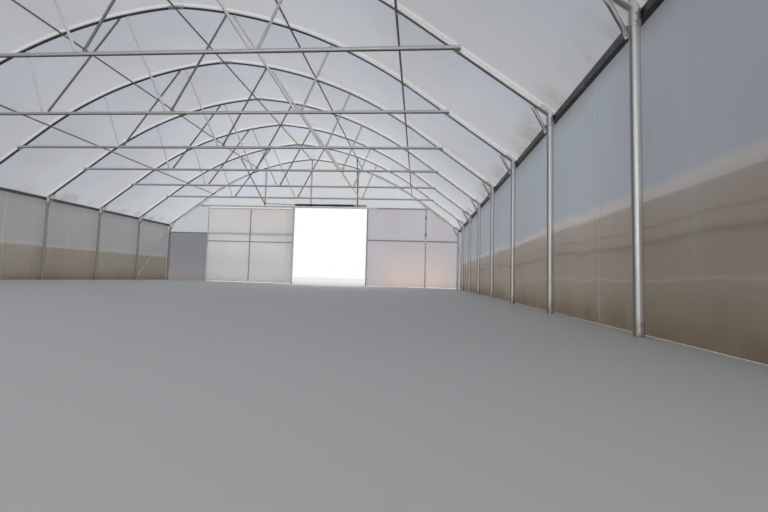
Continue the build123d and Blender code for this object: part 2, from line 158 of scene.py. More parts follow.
class Pile:
    """Many small shapes gathered into one mesh."""

    def __init__(self):
        self.verts = []
        self.faces = []

    def ring(self, points):
        start = len(self.verts)
        self.verts.extend(points)
        return list(range(start, len(self.verts)))

    def bridge(self, a, b):
        n = len(a)
        for i in range(n):
            j = (i + 1) % n
            self.faces.append((a[i], a[j], b[j], b[i]))

    def skin(self, rings, caps=True):
        """Faces from ring to ring, and over the two ends."""
        for a, b in zip(rings, rings[1:]):
            self.bridge(a, b)
        if caps:
            self.faces += [tuple(reversed(rings[0])), tuple(rings[-1])]

    def tube(self, path, radii, sides=20, side_axis=Y_AXIS, caps=True):
        """Tube along a path. radii is one number, or one or a pair (in plane, along side_axis) a point."""
        path = [Vector(p) for p in path]
        if not isinstance(radii, (list, tuple)):
            radii = [radii] * len(path)
        turns = [2 * pi * k / sides for k in range(sides)]
        rings = []
        for (p, along, stretch), radius in zip(along_path(path), radii):
            normal = side_axis.cross(along).normalized()
            binormal = along.cross(normal).normalized()
            wide, deep = radius if isinstance(radius, (list, tuple)) else (radius, radius)
            rings.append(self.ring([
                p + normal * (cos(a) * wide * stretch) + binormal * (sin(a) * deep) for a in turns
            ]))
        self.skin(rings, caps)
        return rings

    def sleeve(self, path, bore, outside, sides=24):
        """Hollow tube along a path, its ends closed by rings."""
        inner = self.tube(path, bore, sides, caps=False)
        walls = sides * (len(path) - 1)
        self.faces[-walls:] = [tuple(reversed(face)) for face in self.faces[-walls:]]
        outer = self.tube(path, outside, sides, caps=False)
        self.bridge(outer[0], inner[0])
        self.bridge(inner[-1], outer[-1])

    def bolt(self, base, axis, radius=0.009, height=0.007, washer=0.0, washer_thick=0.0016):
        """Hexagonal head with a chamfered top, standing on a point along an axis."""
        axis = Vector(axis).normalized()
        side = Z_AXIS if abs(axis.z) < 0.9 else X_AXIS
        base = Vector(base)
        if washer:
            self.tube([base, base + axis * washer_thick], washer, 14, side)
        path = [base, base + axis * height * 0.8, base + axis * height]
        self.tube(path, [radius, radius, radius * 0.82], 6, side)

    def bolt_pair(self, centre, axis, reach, *size, washer):
        """Two bolts on opposite sides of a point, each a reach away from it along the axis."""
        for way in (-axis, axis):
            self.bolt(centre + way * reach, way, *size, washer=washer)

    def strip(self, path, width, thick, width_axis=Y_AXIS):
        """Flat bar bent along a path, its width along width_axis."""
        half = width_axis * width / 2
        rings = []
        for p, along, stretch in along_path([Vector(p) for p in path]):
            normal = width_axis.cross(along).normalized() * thick / 2 * stretch
            corners = (-half - normal, half - normal, half + normal, normal - half)
            rings.append(self.ring([p + corner for corner in corners]))
        self.skin(rings)

    def mirrored(self):
        """The same shapes on the other side of the ridge line."""
        twin = Pile()
        twin.verts = [Vector((-v[0], v[1], v[2])) for v in self.verts]
        twin.faces = [tuple(reversed(f)) for f in self.faces]
        return twin

    def build(self, name, material, replaces=(), body="tunnel", slot="galvanised_tube", angle=35):
        mesh = bpy.data.meshes.new(name)
        mesh.from_pydata(self.verts, [], self.faces)
        mesh.validate()
        mesh.update()
        mesh.shade_smooth()
        mesh.set_sharp_from_angle(angle=radians(angle))
        mesh.materials.append(material)
        obj = new_object(name, mesh)
        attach(obj, body)
        if replaces:
            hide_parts(*replaces)
        return obj


def both_sides(pile, name, right, left=None, nodes=True, slot="galvanised_tube"):
    """The piece on the right and its twin on the left, each of its own material if two are given."""
    tail = "_tube" if nodes else ""
    for side, shapes, material in (("_right", pile, right), ("_left", pile.mirrored(), left or right)):
        shapes.build(name + side + tail, material, (name + side,) if nodes else (), slot=slot)


def shares(n):
    return [k / n for k in range(n + 1)]


def grid_sheet(name, us, vs, point, material, **more):
    """Sheet through the points that a function gives for each pair of two lists' values."""
    pile = Pile()
    ids = [pile.ring([point(u, v) for v in vs]) for u in us]
    for a, b in zip(ids, ids[1:]):
        for i in range(len(a) - 1):
            pile.faces.append((a[i], a[i + 1], b[i + 1], b[i]))
    return pile.build(name, material, angle=180, **more)


# Materials
class Tree:
    """Writes the node tree of a material or of the world."""

    def __init__(self, owner, output="OutputMaterial"):
        self.owner = owner
        owner.use_nodes = True
        self.nt = owner.node_tree
        self.nt.nodes.clear()
        self.out = self.node(output)
        self.place = self.node("TexCoord").outputs["Object"]

    def node(self, kind, inputs=None, **props):
        """New shader node. inputs maps its sockets to values or to other nodes' outputs."""
        n = self.nt.nodes.new("ShaderNode" + kind)
        for key, value in props.items():
            setattr(n, key, value)
        for key, value in (inputs or {}).items():
            socket = n.inputs[key]
            if isinstance(value, bpy.types.NodeSocket):
                self.nt.links.new(value, socket)
            else:
                socket.default_value = (*value, 1) if socket.type == "RGBA" else value
        return n

    def mapped(self, scale):
        return self.node("Mapping", {"Vector": self.place, "Scale": scale}).outputs["Vector"]

    def noise(self, scale, vector=None, detail=3.0, rough=0.55):
        inputs = {"Vector": vector or self.place, "Scale": scale, "Detail": detail, "Roughness": rough}
        return self.node("TexNoise", inputs).outputs["Fac"]

    def math(self, op, *values):
        return self.node("Math", dict(enumerate(values)), operation=op).outputs[0]

    def times(self, a, b):
        return self.math("MULTIPLY", a, b)

    def plus(self, a, b):
        return self.math("ADD", a, b)

    def span(self, value, low, high, to_low=0.0, to_high=1.0, kind="LINEAR"):
        """A value between low and high carried over to another range."""
        inputs = {"Value": value, "From Min": low, "From Max": high, "To Min": to_low, "To Max": to_high}
        return self.node("MapRange", inputs, interpolation_type=kind).outputs["Result"]

    def ease(self, value, low, high, to_low=0.0, to_high=1.0):
        """The same with a soft start and end."""
        return self.span(value, low, high, to_low, to_high, "SMOOTHSTEP")

    def band(self, value, low, high, edge):
        """1 between low and high, with a soft edge about each of them."""
        rise = self.ease(value, low - edge, low + edge)
        return self.times(rise, self.ease(value, high - edge, high + edge, 1.0, 0.0))

    def ramp(self, value, stops):
        n = self.node("ValToRGB", {"Fac": value})
        n.color_ramp.interpolation = "EASE"
        items = n.color_ramp.elements
        items.remove(items[1])
        items[0].position = stops[0][0]
        items[0].color = (*stops[0][1], 1)
        for place, colour in stops[1:]:
            items.new(place).color = (*colour, 1)
        return n.outputs["Color"]

    def mix(self, factor, a, b, kind="MIX"):
        inputs = {"Factor": factor, "A": a, "B": b}
        return self.node("Mix", inputs, data_type="RGBA", blend_type=kind).outputs["Result"]

    def axes(self, vector=None):
        """The three parts of a vector, or of the place on the object."""
        return tuple(self.node("SeparateXYZ", {0: vector or self.place}).outputs)

    def join(self, x, y, z):
        return self.node("CombineXYZ", {0: x, 1: y, 2: z}).outputs[0]

    def bump(self, height, strength, distance):
        inputs = {"Height": height, "Strength": strength, "Distance": distance}
        return self.node("Bump", inputs).outputs["Normal"]

    def principled(self, colour, roughness, metallic=0.0, normal=None, specular=0.5):
        inputs = {"Base Color": colour, "Roughness": roughness, "Metallic": metallic}
        inputs["Specular IOR Level"] = specular
        if normal is not None:
            inputs["Normal"] = normal
        return self.node("BsdfPrincipled", inputs).outputs["BSDF"]

    def blend(self, share, a, b):
        """One shader passing into another by a share."""
        return self.node("MixShader", {0: share, 1: a, 2: b}).outputs[0]

    def finish(self, shader):
        self.nt.links.new(shader, self.out.inputs["Surface"])
        return self.owner


SOIL = (0.30, 0.22, 0.15)
RUST = (0.20, 0.085, 0.035)
SPECK = (0.20, 0.17, 0.13)
EAVE_DIRT = (0.24, 0.19, 0.15)
FRAME_GLOW = (0.82, 0.82, 0.78)
CLOUDED = (0.88, 0.90, 0.94)


def shaded(tint, gain, lift=0.0):
    """A tint, or the grey of one number, made darker or paler by one gain or one for each channel."""
    tint, gains = (v if isinstance(v, tuple) else (v,) * 3 for v in (tint, gain))
    return tuple(min(1.0, c * k + lift) for c, k in zip(tint, gains))


def zinc(name, bright, dark, rough, rust, metallic=0.75, dust=0.10, lift=0.30, lit_way=(0.5, 0.0, 0.86),
         turn=(-0.72, 0.18), soil=(0.42, 0.37, 0.30), grain=0.0005):
    """Galvanised steel: faint spangle, painted light and shade that make it lighter on the side facing one
    given way and darker on the other, dusty, rust in spots.
    """
    t = Tree(bpy.data.materials.new(name))
    cells = t.node("TexVoronoi", {"Vector": t.place, "Scale": 70})
    spangle = t.axes(cells.outputs["Color"])[0]
    tone = t.math("MULTIPLY_ADD", t.noise(2.4), 0.34, t.times(spangle, 0.05))
    across, along, up = t.axes(t.node("NewGeometry").outputs["Normal"])
    # Painted light and shade: the tone rises by up to lift where the normal faces the given way and falls
    # where it faces away.
    facing_light = t.math("MULTIPLY_ADD", across, lit_way[0], t.times(up, lit_way[2]))
    facing_light = t.math("MULTIPLY_ADD", along, lit_way[1], facing_light)
    tone = t.plus(tone, t.ease(facing_light, *turn, -lift, lift))
    stops = [(0.10, shaded(dark, (1.02, 1.0, 0.98))), (0.80, shaded(bright, (1.012, 1.0, 0.988)))]
    colour = t.ramp(t.plus(tone, 0.28), stops)
    stain = t.ease(t.noise(6.0, t.mapped((1, 1, 0.35)), detail=4, rough=0.65), 0.56, 0.74)
    colour = t.mix(t.times(stain, dust), colour, soil)
    foot = t.ease(t.axes()[2], 0.0, 0.16, 1.0, 0.0)
    splash = t.times(foot, t.span(t.noise(22, detail=4), 0.3, 0.62))
    colour = t.mix(t.times(splash, 0.8), colour, SOIL)
    spots = t.span(t.noise(30, detail=5, rough=0.7), 0.70 - 0.12 * rust, 0.74 - 0.08 * rust)
    colour = t.mix(t.times(spots, 0.7), colour, RUST)
    worn = t.plus(t.noise(12), t.times(stain, 0.4))
    roughness = t.span(worn, 0.3, 1.0, rough - 0.05, rough + 0.15)
    normal = t.bump(t.noise(60, detail=2), 0.03, grain)
    return t.finish(t.principled(colour, roughness, metallic, normal))


def wall_bands(t, colour, bands, top=2.0):
    """Tones by height up to a top, in wavering bands along a side wall: splashed soil and damp low down,
    painted shadow and highlight lines along the film's folds, darker towards the top.
    """
    x, y, z = t.axes()
    waver = t.noise(0.45, t.join(0.0, y, 0.0), rough=0.6)
    cloud = t.noise(2.2, t.join(x, t.times(y, 0.35), z), detail=5, rough=0.6)
    height = t.plus(z, t.times(t.plus(waver, -0.5), 0.22))
    height = t.plus(height, t.times(t.plus(cloud, -0.5), 0.05))
    tones = t.ramp(t.math("DIVIDE", height, top), [(place / top, tone) for place, tone in bands])
    return t.mix(1.0, colour, tones, "MULTIPLY")


def from_place(t, y, shift):
    """Distance along the tunnel from the nearest of the places that repeat in every bay."""
    return t.math("ABSOLUTE", t.plus(t.math("MODULO", t.plus(y, shift), BAY), -BAY / 2))


def frame_glow(t, colour, share):
    """Painted shade across each bay of the roof film, lighter towards the bay's far side, and a painted
    band of light over the arches.
    """
    y = t.axes()[1]
    through_bay = t.math("DIVIDE", t.math("MODULO", t.plus(y, END_Y + 2 * BAY), BAY), BAY)
    # Painted shade: darker just past each frame, lighter towards the next.
    bay_shade = t.ramp(through_bay, [(0.0, (0.93, 0.95, 0.99)), (0.9, (1.04, 1.03, 1.00))])
    colour = t.mix(1.0, colour, bay_shade, "MULTIPLY")
    from_frame = from_place(t, y, END_Y + 2.5 * BAY)
    # Painted light: a pale band along each arch.
    return t.mix(t.ease(from_frame, 0.026, 0.062, share, 0.0), colour, FRAME_GLOW)


def leaning_streaks(t, colour, tint, share):
    """One broken pale streak in each bay of a side wall, with a shadow beside it."""
    y, z = t.axes()[1:]
    lean = t.times(t.plus(t.noise(0.8, t.join(0.0, y, z)), -0.5), 0.24)
    place = from_place(t, t.plus(y, lean), 2 * END_Y + 0.10 + BAY / 2)
    broken = t.ease(t.noise(2.0, t.mapped((1, 3, 1)), detail=2), 0.30, 0.60, 0.2, 1.0)
    pale = t.times(t.ease(place, 0.004, 0.030, 1.0, 0.0), broken)
    beside = t.math("ABSOLUTE", t.plus(place, -0.055))
    shadow = t.times(t.ease(beside, 0.004, 0.035, 1.0, 0.0), broken)
    colour = t.mix(t.times(shadow, share * 0.6), colour, shaded(tint, 0.7))
    return t.mix(t.times(pale, share), colour, shaded(tint, 1.4, 0.04))


def film(name, tint, streaks, clear, through=0.5, wash=(), bands=None, patches=(), dim=1.0, run="X",
         haze=0.0, post_lines=0.0, mottle=(0.93, 0.905, 0.885), gains=(), frame_bands=0.0):
    """Milky plastic film that lets light through, with streaks, dirt and fine folds; gains, frame bands,
    fold lines in the bands and some patches paint light and shade on it.

    A wash is (full below, gone above, colour, share), a gain is painted light or shade along y (from y, to
    y, there, and there), and a patch is (left, right, low, high, soft edge, colour, share).
    """
    t = Tree(bpy.data.materials.new(name + "_plastic"))
    x, y, z = t.axes()
    along = y if run == "Y" else x
    colour = t.mix(t.ease(t.noise(0.5, detail=2), 0.30, 0.70), tint, shaded(tint, mottle))
    cloudy = t.noise(0.9, t.mapped((1, 0.6, 1)), detail=4, rough=0.6)
    colour = t.mix(t.ease(cloudy, 0.45, 0.75, 0.0, 0.4), colour, shaded(tint, CLOUDED))
    if bands:
        colour = wall_bands(t, colour, bands)
    if frame_bands:
        colour = frame_glow(t, colour, frame_bands)
    # Painted light and shade along the tunnel: each gain scales the colour from one y to another.
    for low, high, at_low, at_high in gains:
        gain = t.ease(y, low, high, at_low, at_high)
        colour = t.mix(1.0, colour, t.join(gain, gain, gain), "MULTIPLY")
    vertical = t.noise(1.0, t.join(t.times(along, 7.0), 0.0, t.times(z, 0.5)), detail=5, rough=0.7)
    colour = t.mix(t.times(t.ease(vertical, 0.52, 0.76), streaks), colour, shaded(tint, 1.22, 0.03))
    narrow = t.noise(1.0, t.join(t.times(along, 17.0), 3.0, t.times(z, 0.9)))
    colour = t.mix(t.times(t.ease(narrow, 0.60, 0.80), streaks * 0.9), colour, shaded(tint, 0.66))
    spots = t.span(t.noise(17, detail=5, rough=0.75), 0.69, 0.80)
    colour = t.mix(t.times(spots, 0.4), colour, SPECK)
    if post_lines:
        colour = leaning_streaks(t, colour, tint, post_lines)
    if haze:
        rise = t.ease(z, 1.70, 1.82)
        near_eave = t.times(t.ease(z, 1.90, 2.10, 1.0, 0.0), rise)
        dirt = t.times(near_eave, t.ease(t.noise(1.6, detail=5, rough=0.7), 0.42, 0.68))
        colour = t.mix(t.times(dirt, haze), colour, EAVE_DIRT)
    for low, high, shade, share in wash:
        uneven = t.ease(t.noise(3, detail=4, rough=0.6), 0.25, 0.75)
        grime = t.times(t.ease(z, low, high, 1.0, 0.0), uneven)
        colour = t.mix(t.times(grime, share), colour, shade)
    for left, right, low, high, edge, shade, share in patches:
        area = t.times(t.band(x, left, right, edge), t.band(z, low, high, edge))
        colour = t.mix(t.times(area, share), colour, shade)
    normal = t.bump(t.plus(t.times(vertical, 0.5), t.noise(9)), 0.35, 0.012)
    surface = t.principled(colour, 0.35, normal=normal, specular=0.35)
    dimmed = t.mix(1.0, colour, (dim, dim, dim), "MULTIPLY")
    passing = t.node("BsdfTranslucent", {"Color": dimmed, "Normal": normal}).outputs[0]
    body = t.blend(through, surface, passing)
    return t.finish(t.blend(clear, body, t.node("BsdfTransparent").outputs[0]))


def net_material(name):
    """Dark woven shade net, dusty and bleached at its right end."""
    t = Tree(bpy.data.materials.new(name))
    threads = []
    for way, scale, wobble in (("X", 90, 2.0), ("Z", 110, 3.0)):
        inputs = {"Vector": t.place, "Scale": scale, "Distortion": wobble}
        threads.append(t.node("TexWave", inputs, bands_direction=way).outputs["Fac"])
    knit = t.times(*threads)
    dust = t.span(t.noise(11, detail=5, rough=0.7), 0.42, 0.75)
    colour = t.mix(knit, (0.035, 0.030, 0.028), (0.13, 0.11, 0.10))
    colour = t.mix(t.times(dust, 0.35), colour, (0.22, 0.19, 0.15))
    bleached = t.plus(t.axes()[0], t.times(t.noise(7), 0.3))
    colour = t.mix(t.ease(bleached, 1.50, 1.66, 0.0, 0.9), colour, (0.60, 0.58, 0.54))
    return t.finish(t.principled(colour, 0.85, normal=t.bump(knit, 0.7, 0.003), specular=0.2))


def wrapped_bar(name, wrap=0.026, blur=0.001):
    """Door leaf's bars: the outer ones with the film's edge wrapped round them."""
    t = Tree(bpy.data.materials.new(name))
    x, _, z = t.axes()
    outer = []
    for place, low, high in ((x, LEAF_LEFT, LEAF_RIGHT), (z, LEAF_LOW, LEAF_TOP)):
        start = t.span(place, low + wrap - blur, low + wrap + blur, 1.0, 0.0)
        end = t.span(place, high - wrap - blur, high - wrap + blur)
        outer.append(t.math("MAXIMUM", start, end))
    edge = t.math("MAXIMUM", *outer)
    steel = t.ramp(t.noise(6, detail=4), [(0.3, (0.30, 0.27, 0.245)), (0.7, (0.44, 0.40, 0.355))])
    steel = t.mix(t.span(t.noise(30, detail=5, rough=0.7), 0.60, 0.68), steel, (0.20, 0.09, 0.04))
    wrapping = t.ramp(t.noise(9, detail=4), [(0.3, (0.72, 0.68, 0.62)), (0.7, (0.86, 0.83, 0.79))])
    normal = t.bump(t.noise(40, t.mapped((1, 1, 0.2))), 0.3, 0.002)
    roughness = t.span(edge, 0.0, 1.0, 0.5, 0.38)
    return t.finish(t.principled(t.mix(edge, steel, wrapping), roughness, normal=normal))


# Metals and net. On each zinc whose lift is above zero, light and shade are painted by which way its
# surface faces.
# Arches are painted lighter on their upper sides towards the left and the near end, and darker below; ties
# are painted lighter on top.
TUBE = zinc("zinc_tube", 0.97, 0.08, 0.32, 0.1, metallic=0.4, lift=0.42, lit_way=(-0.55, -0.20, 0.80),
            turn=(-0.35, 0.25))
TIE = zinc("zinc_tie", 0.62, 0.12, 0.36, 0.3, lift=0.34, dust=0.5, lit_way=(0.0, -0.30, 0.95),
           turn=(-0.85, -0.15), soil=(0.46, 0.41, 0.32))
# The right posts carry a painted highlight along the side facing the near end; the left posts' zinc is a
# darker copy, painted shade.
POST = zinc("zinc_post", 0.76, 0.27, 0.34, 0.1, metallic=0.55, dust=0.04, lift=0.42,
            lit_way=(0.02, -1.0, 0.0), turn=(0.40, 0.99), grain=0.00012)
POST_SHADED = zinc("zinc_post_shaded", 0.40, 0.27, 0.36, 0.1, lift=0.0, dust=0.04)
THIN = zinc("zinc_thin_tube", 0.62, 0.16, 0.36, 0.3, lift=0.34)
# The dark and pale thin tubes are shaded and lit copies of one zinc: painted shade and painted light,
# chosen by which way each web bar leans.
THIN_SHADED = zinc("zinc_thin_shaded", 0.26, 0.09, 0.40, 0.3, lift=0.20)
THIN_LIT = zinc("zinc_thin_lit", 0.92, 0.46, 0.36, 0.2, metallic=0.3, lift=0.28, dust=0.4,
                 soil=(0.60, 0.54, 0.42))
PURLIN = zinc("zinc_purlin", 0.32, 0.10, 0.42, 0.5, lift=0.1)
FITTING = zinc("zinc_fitting", 0.80, 0.34, 0.36, 0.7, lift=0.25)
MOSSY = zinc("zinc_mossy_clamp", 0.34, 0.20, 0.55, 0.7, lift=0.1, dust=0.9, soil=(0.24, 0.25, 0.13))
RAIL = zinc("eave_rail_steel", 0.14, 0.035, 0.50, 0.7, dust=0.35, lift=0.15)
BAR = zinc("end_wall_bar", 0.42, 0.24, 0.45, 0.6, lift=0.1)
STUD = zinc("side_stud_bar", 0.62, 0.42, 0.45, 0.5, lift=0.0)
TRACK = zinc("door_track_steel", 0.85, 0.62, 0.40, 0.4, lift=0.0)
DOOR_BAR = wrapped_bar("door_bar_steel")
NET = net_material("shade_net")

# Films. A band is (height, gain of each colour channel); the thin dark and light lines are painted shadow
# and highlight along the folds.
RIGHT_BANDS = [
    (0.00, (0.80, 0.62, 0.40)), (0.16, (0.92, 0.74, 0.50)), (0.29, (1.02, 0.82, 0.63)),
    (0.305, (1.22, 1.00, 0.82)), (0.322, (1.06, 0.84, 0.65)), (0.48, (1.05, 0.82, 0.64)),
    (0.515, (0.82, 0.66, 0.51)), (0.545, (1.08, 0.89, 0.71)), (0.590, (1.12, 0.91, 0.73)),
    (0.603, (0.98, 0.76, 0.52)), (0.616, (1.15, 0.94, 0.76)), (0.70, (1.20, 0.99, 0.84)),
    (0.755, (1.22, 1.02, 0.88)), (0.795, (1.27, 1.10, 0.97)), (0.86, (0.97, 0.965, 0.97)),
    (1.60, (0.97, 0.985, 1.00)), (1.80, (0.84, 0.84, 0.84)),
]
LEFT_BANDS = [
    (0.00, (0.84, 0.69, 0.52)), (0.18, (1.02, 0.90, 0.79)), (0.50, (1.08, 0.97, 0.86)),
    (0.74, (1.09, 0.99, 0.90)), (0.79, (1.10, 1.05, 0.99)), (0.84, (0.95, 0.94, 0.93)),
    (1.60, (0.97, 0.98, 0.99)), (1.80, (0.86, 0.86, 0.86)),
]
SPLASH = (0.02, 0.22, SOIL, 0.5)
END_SOIL = (0.36, 0.28, 0.20)
PAST_EDGE = 9.0  # beyond every edge of an end wall
BELOW = -1.0  # under the ground
BESIDE_LEAF = LEAF_LEFT + 0.01

# The roof's gains are painted light: darker towards the near end, lighter towards the far end; its frame
# bands are painted too.
ROOF_FILM = film("roof_film", (0.51, 0.532, 0.575), run="Y", streaks=0.10, clear=0.06, dim=0.9, haze=0.6,
                 gains=[(-6.5, -1.5, 0.70, 0.95), (-1.5, 8.5, 1.0, 1.26)], frame_bands=0.42)
GABLE_FILM = film("gable_film", (0.53, 0.565, 0.63), streaks=0.15, clear=0.08, through=0.7,
                  mottle=(1.06, 0.99, 0.86))
# The right wall's gain is painted light: lighter past its near bays.
RIGHT_WALL_FILM = film("right_wall", (0.37, 0.41, 0.46), run="Y", streaks=0.20, clear=0.04, dim=0.68,
                       bands=RIGHT_BANDS, wash=[SPLASH], haze=0.5, post_lines=0.35,
                       gains=[(-5.8, -3.6, 1.0, 1.3)])
LEFT_WALL_FILM = film("left_wall", (0.45, 0.46, 0.455), run="Y", streaks=0.22, clear=0.04, dim=0.72,
                      bands=LEFT_BANDS, wash=[SPLASH], haze=0.4, post_lines=0.3)
SKIRT_FILM = film("skirt_film", (0.80, 0.75, 0.67), run="Y", streaks=0.25, clear=0.06, through=0.7,
                  wash=[(0.02, 0.35, (0.32, 0.24, 0.16), 0.6)])
END_FILM = film("end_film", (0.92, 0.92, 0.92), streaks=0.25, clear=0.50, through=0.8,
                wash=[(0.02, 0.30, END_SOIL, 0.4)])
# The first patch is a painted pinkish glow of light coming through the film right of the doorway; the
# second is soil at its foot.
GLOW_FILM = film("far_right", (0.49, 0.47, 0.505), streaks=0.15, clear=0.04, through=0.6,
                 patches=[(2.35, 4.55, -2.0, 0.95, 0.55, (0.64, 0.52, 0.485), 0.9),
                          (-PAST_EDGE, PAST_EDGE, BELOW, 0.10, 0.08, (0.42, 0.33, 0.25), 0.3)])
SHADE_FILM = film("far_left", (0.80, 0.80, 0.81), streaks=0.25, clear=0.06, through=0.7,
                  wash=[(0.02, 0.30, END_SOIL, 0.3)],
                  patches=[(-PAST_EDGE, BESIDE_LEAF, BELOW, PAST_EDGE, 0.02, (0.46, 0.475, 0.485), 1.0),
                           (-PAST_EDGE, BESIDE_LEAF, BELOW, 1.58, 0.02, (0.145, 0.145, 0.17), 0.95),
                           (-PAST_EDGE, BESIDE_LEAF, BELOW, 0.5, 0.4, (0.23, 0.20, 0.19), 0.7)])
DOOR_FILM = film("door_film", (0.98, 0.95, 0.93), streaks=0.16, clear=0.0, through=0.36,
                 mottle=(0.97, 0.95, 0.95), wash=[(0.03, 0.30, (0.50, 0.40, 0.30), 0.3)],
                 patches=[(-3.5, -0.5, BELOW, 0.95, 0.30, (0.80, 0.765, 0.755), 0.55),
                          (-1.34, -0.88, 2.14, 2.40, 0.008, (1.0, 0.90, 0.80), 0.9),
                          (-0.80, -0.5, 0.03, 2.40, 0.02, (0.76, 0.78, 0.83), 0.6)])
BUNCH_FILM = film("bunched", (0.97, 0.95, 0.90), streaks=0.2, clear=0.0, through=0.35)

# Posts and arches, with the bent sleeves over their joints
TUBE_END = 0.055  # from a joint's corner to the ends of the tubes in its sleeve
POST_MIDDLE = 0.9  # height of the ring that divides a post
SLEEVE_BORE = POST_R + 0.0004
SLEEVE_SEAT = SLEEVE_R * 0.985
SLEEVE_BOLTS = (0.045, 0.095)
KNEE_TANGENT = 0.024
ARC_STEPS = 26

leg = Vector((-cos(PITCH), 0, sin(PITCH)))
down = Vector((cos(RIDGE_ANGLE), 0, -sin(RIDGE_ANGLE)))
other_down = Vector((-down.x, 0, down.z))
angles = [PITCH + (RIDGE_ANGLE - PITCH) * k / ARC_STEPS for k in range(ARC_STEPS + 1)]
arc_path = [(CENTRE_X + ARC_R * sin(a), CENTRE_Z + ARC_R * cos(a)) for a in angles]


def elbow(corner, way_in, way_out, arm, tangent, steps=7):
    """Path through a corner, rounded between the two tangent points."""
    path = [corner - way_in * arm]
    for k in range(steps + 1):
        t = k / steps
        path.append(corner - way_in * tangent * (1 - t) ** 2 + way_out * tangent * t**2)
    return path + [corner + way_out * arm]


posts = Pile()
arches = Pile()
knee_sleeves = Pile()
ridge_sleeves = Pile()
for y in FRAME_Y:
    knee = Vector((HALF_WIDTH, y, KNEE))
    ridge = Vector((0, y, RIDGE))
    posts.tube([(HALF_WIDTH, y, z) for z in (0, POST_MIDDLE, KNEE - TUBE_END)], POST_R)
    arches.tube([knee + leg * TUBE_END, *[(x, y, z) for x, z in arc_path]], POST_R)
    knee_path = elbow(knee, Z_AXIS, leg, SLEEVE_LENGTH, KNEE_TANGENT)
    ridge_path = [ridge + other_down * SLEEVE_LENGTH, ridge, ridge + down * SLEEVE_LENGTH]
    knee_sleeves.sleeve(knee_path, SLEEVE_BORE, SLEEVE_R)
    ridge_sleeves.sleeve(ridge_path, SLEEVE_BORE, SLEEVE_R)
    for reach in SLEEVE_BOLTS:
        for way in (-Z_AXIS, leg):
            knee_sleeves.bolt_pair(knee + way * reach, Y_AXIS, SLEEVE_SEAT, washer=0.011)
        for way in (down, other_down):
            ridge_sleeves.bolt_pair(ridge + way * reach, Y_AXIS, SLEEVE_SEAT, washer=0.011)

# Painted light: the right posts lit, the left posts shaded.
both_sides(posts, "posts", POST, POST_SHADED)
both_sides(arches, "arches", TUBE)
both_sides(knee_sleeves, "knee_sleeves", FITTING, slot="zinc_fitting")
ridge_sleeves.build("ridge_sleeves_round", FITTING, ("ridge_sleeves",), slot="zinc_fitting")

# Ties, and the double collars that hold them beside the arches
TIE_CHAMFER = 0.004
TIE_END_R = TIE_R * 0.86
TIE_GAP = 0.010  # between a tie's end and the roof film
COLLAR_HALF = 0.023
COLLAR_WALL = 0.005
COLLAR_STEP = 0.015  # the tie's collar is this far inward of the arch's
COLLAR_BOLT = (0.008, 0.033, 0.026)  # inward of the arch, beside it, above and below its crossing

tie_top_x = arch_x(TIE_Z + TIE_R)
tie_half = tie_top_x + FILM_INNER / arch_normal(tie_top_x)[0] - TIE_GAP
clamp_x = arch_x(TIE_Z)
clamp_across, clamp_up = arch_normal(clamp_x)
along_tie = X_AXIS * COLLAR_HALF
along_arch = Vector((-clamp_up, 0, clamp_across)) * COLLAR_HALF
ties = Pile()
clamps = Pile()
for y in INNER_Y:
    tie_y = y - TIE_SIDE
    shoulder = tie_half - TIE_CHAMFER
    ties.tube([(x, tie_y, TIE_Z) for x in (-tie_half, -shoulder, 0, shoulder, tie_half)],
              [TIE_END_R, TIE_R, TIE_R, TIE_R, TIE_END_R])
    tie_centre = Vector((clamp_x - COLLAR_STEP, tie_y, TIE_Z))
    arch_centre = Vector((clamp_x, y, TIE_Z))
    for centre, half, radius in ((tie_centre, along_tie, TIE_R), (arch_centre, along_arch, POST_R)):
        clamps.sleeve([centre - half, centre + half], radius + CLEAR, radius + COLLAR_WALL)
    inward, beside, lift = COLLAR_BOLT
    bolt_centre = Vector((clamp_x - inward, y - beside, TIE_Z))
    clamps.bolt_pair(bolt_centre, Z_AXIS, lift, 0.008, 0.016, washer=0.010)

ties.build("ties_tube", TIE, ("ties",))
both_sides(clamps, "tie_clamps", FITTING, slot="zinc_fitting")

# Web bars and knee braces: tubes with pressed, bolted ends
PRESSED = (WEB_R * 1.35, WEB_R * 0.22)
HALF_PRESSED = (WEB_R * 1.15, WEB_R * 0.6)
# Right and left materials are painted lit and painted shaded copies of the thin tube.
WEB_BARS = {  # x at the tie, x at the arch, right and left material
    "web_centre": (0.03, 0.78, THIN_SHADED, THIN_LIT),
    "web_middle": (1.86, 0.84, THIN_LIT, THIN_SHADED),
    "web_outer": (1.92, 2.32, THIN, THIN_LIT),
}


def web_bar(pile, start, end, pinch, inset, axis=Y_AXIS, seat=0.0035):
    """Bar pressed flat over a pinch length at both ends, with a bolt through each of them."""
    way = (end - start).normalized()
    reaches = (0, pinch * 0.55, pinch, pinch * 1.7)
    path = [start + way * reach for reach in reaches] + [end - way * reach for reach in reversed(reaches)]
    radii = [PRESSED, PRESSED, HALF_PRESSED, (WEB_R, WEB_R)]
    pile.tube(path, radii + radii[::-1], 16)
    for centre in (start + way * inset, end - way * inset):
        pile.bolt_pair(centre, axis, seat, 0.008, 0.006, washer=0.010)


def bar_to_arch(pile, foot, y, head_x, square, radius, pinch, inset):
    """Web bar from a tube to the arch over it; square points away from the tube at its foot."""
    head = Vector((head_x, y, arch_height(head_x)))
    across, up = arch_normal(head_x)
    way = head - foot
    start = foot + way * ((radius + JOINT_GAP) / way.dot(square))
    end = head - way * ((POST_R + JOINT_GAP) / way.dot(Vector((across, 0, up))))
    web_bar(pile, start, end, pinch, inset)


